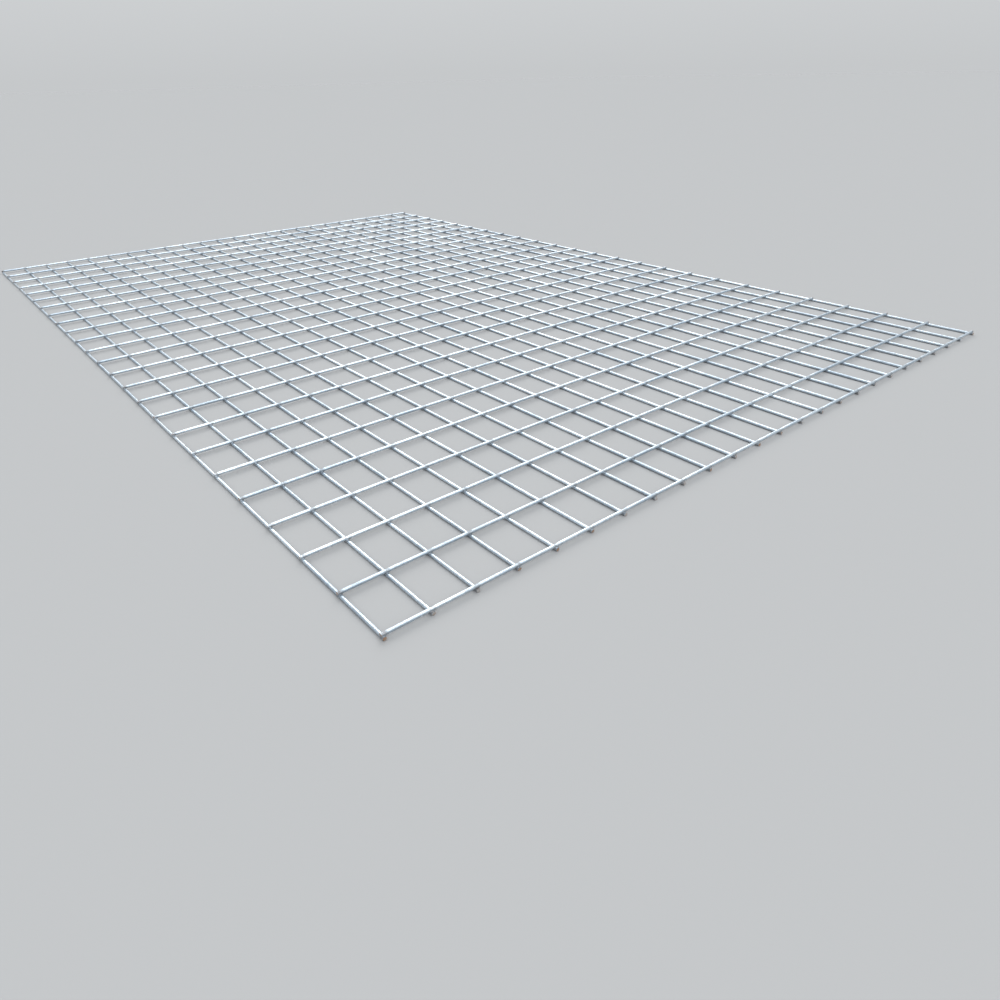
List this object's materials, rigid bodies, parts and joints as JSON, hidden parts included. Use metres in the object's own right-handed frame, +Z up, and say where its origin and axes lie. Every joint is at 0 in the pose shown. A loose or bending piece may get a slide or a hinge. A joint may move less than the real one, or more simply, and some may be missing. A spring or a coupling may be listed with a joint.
{
  "type": "welded wire mesh panel",
  "caption": "Flat rectangular sheet of galvanised round wires crossing at right angles and welded at every crossing, open oblong cells between them.",
  "frame": {"origin": "centre of the bounding box's underside, on the plane the long wires rest on", "axes": "+X along the cross wires (the panel's width), +Y along the long wires (the panel's length), +Z up out of the sheet, from the long wires towards the cross wires"},
  "size_m": [1.206, 1.808, 0.0074],
  "materials": {
    "galvanised_steel": "bright galvanised"
  },
  "bodies": {
    "root": {"mesh_near_bay": "galvanised_steel", "mesh_middle_bay": "galvanised_steel", "mesh_far_bay": "galvanised_steel"}
  },
  "joints": []
}
